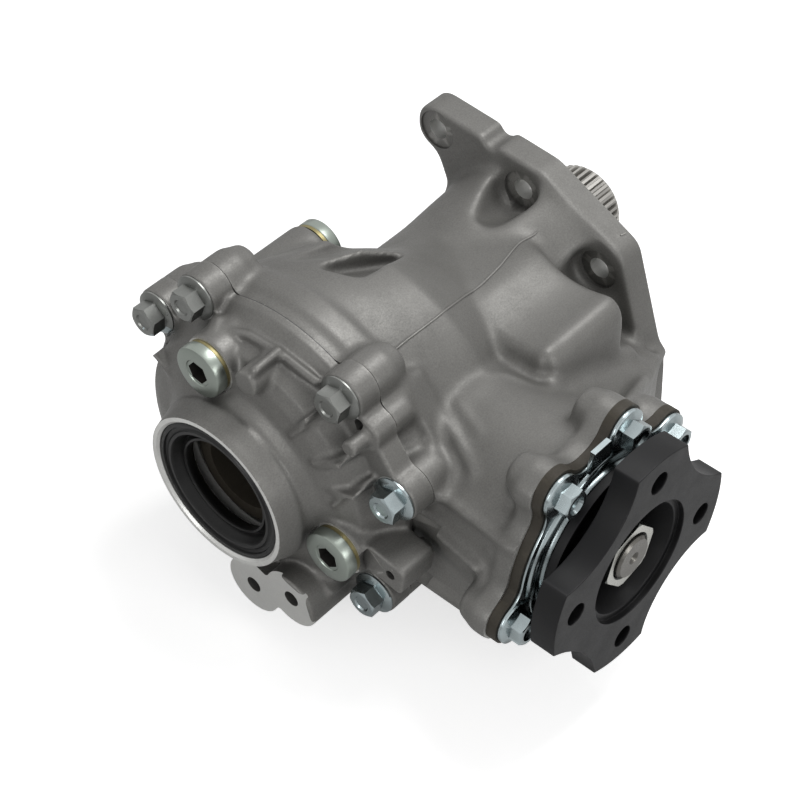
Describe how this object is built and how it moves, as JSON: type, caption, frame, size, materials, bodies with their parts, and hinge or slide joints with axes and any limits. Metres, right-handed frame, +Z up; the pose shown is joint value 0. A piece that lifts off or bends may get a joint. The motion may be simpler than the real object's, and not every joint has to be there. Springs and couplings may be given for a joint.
{
  "type": "transfer case",
  "caption": "Transverse power take-off unit: bevel gears in a cast housing turn gearbox drive through a right angle to a lobed propeller shaft flange.",
  "frame": {"origin": "on the input axis, in the face that meets the gearbox", "axes": "+X along the input axis into the gearbox, the output leaves along -Y, +Z is up as in the vehicle"},
  "size_m": [0.272, 0.2473, 0.1747],
  "materials": {
    "cast_aluminium": "die cast, matt",
    "zinc_plated_steel": "bright zinc plated",
    "plug_steel": "yellowish zinc plated",
    "washer_aluminium": "plain",
    "black_rubber": "satin",
    "grey_sealant": "matt",
    "oiled_iron": "oiled, brownish",
    "black_painted_steel": "semi-matt black",
    "bearing_steel": "ground",
    "machined_steel": "machined"
  },
  "bodies": {
    "housing": {"main_housing": "cast_aluminium", "side_cover": "cast_aluminium", "cover_sealant": "grey_sealant", "side_cover_bolts": "zinc_plated_steel", "cover_dowels": "machined_steel", "upper_plug": "plug_steel", "lower_plug": "plug_steel", "rear_plug": "plug_steel", "plug_washers": "washer_aluminium", "side_oil_seal": "black_rubber", "shaft_oil_seal": "black_rubber", "pinion_oil_seal": "black_rubber", "spigot_o_ring": "black_rubber", "cage_o_ring": "black_rubber", "case_shims": "machined_steel", "pinion_bearing_cage": "oiled_iron", "dust_shield": "zinc_plated_steel", "output_bolts": "zinc_plated_steel", "case_left_bearing_cup": "bearing_steel", "case_right_bearing_cup": "bearing_steel", "pinion_head_bearing_cup": "bearing_steel", "pinion_tail_bearing_cup": "bearing_steel"},
    "ring_gear_group": {"ring_gear_case": "machined_steel", "input_shaft": "machined_steel", "ring_gear": "machined_steel", "ring_gear_bolts": "machined_steel", "case_left_bearing_cone": "bearing_steel", "case_right_bearing_cone": "bearing_steel"},
    "pinion_group": {"drive_pinion": "machined_steel", "pinion_head_bearing_cone": "bearing_steel", "pinion_tail_bearing_cone": "bearing_steel", "pinion_spacer": "machined_steel", "companion_flange": "black_painted_steel", "dust_deflector": "black_painted_steel", "pinion_nut": "zinc_plated_steel"},
    "case_left_roller_group": {"case_left_bearing_rollers": "bearing_steel", "case_left_bearing_retainer": "bearing_steel"},
    "case_right_roller_group": {"case_right_bearing_rollers": "bearing_steel", "case_right_bearing_retainer": "bearing_steel"},
    "pinion_head_roller_group": {"pinion_head_bearing_rollers": "bearing_steel", "pinion_head_bearing_retainer": "bearing_steel"},
    "pinion_tail_roller_group": {"pinion_tail_bearing_rollers": "bearing_steel", "pinion_tail_bearing_retainer": "bearing_steel"}
  },
  "joints": [
    {"name": "ring_gear_spin", "type": "hinge", "parent": "housing", "child": "ring_gear_group", "pos_m": [-0.127, 0, 0], "axis": [1, 0, 0], "continuous": true},
    {"name": "pinion_spin", "type": "hinge", "parent": "housing", "child": "pinion_group", "pos_m": [-0.127, -0.167, 0], "axis": [0, -1, 0], "continuous": true},
    {"name": "case_left_rollers_spin", "type": "hinge", "parent": "housing", "child": "case_left_roller_group", "pos_m": [-0.179, 0, 0], "axis": [1, 0, 0], "continuous": true},
    {"name": "case_right_rollers_spin", "type": "hinge", "parent": "housing", "child": "case_right_roller_group", "pos_m": [-0.093, 0, 0], "axis": [1, 0, 0], "continuous": true},
    {"name": "pinion_head_rollers_spin", "type": "hinge", "parent": "housing", "child": "pinion_head_roller_group", "pos_m": [-0.127, -0.0705, 0], "axis": [0, -1, 0], "continuous": true},
    {"name": "pinion_tail_rollers_spin", "type": "hinge", "parent": "housing", "child": "pinion_tail_roller_group", "pos_m": [-0.127, -0.1215, 0], "axis": [0, -1, 0], "continuous": true}
  ],
  "couplings": [
    {"joint": "pinion_spin", "follows": "ring_gear_spin", "ratio": 2.5625},
    {"joint": "case_left_rollers_spin", "follows": "ring_gear_spin", "ratio": 0.46716},
    {"joint": "case_right_rollers_spin", "follows": "ring_gear_spin", "ratio": 0.45484},
    {"joint": "pinion_head_rollers_spin", "follows": "ring_gear_spin", "ratio": 1.1171},
    {"joint": "pinion_tail_rollers_spin", "follows": "ring_gear_spin", "ratio": 1.103}
  ]
}
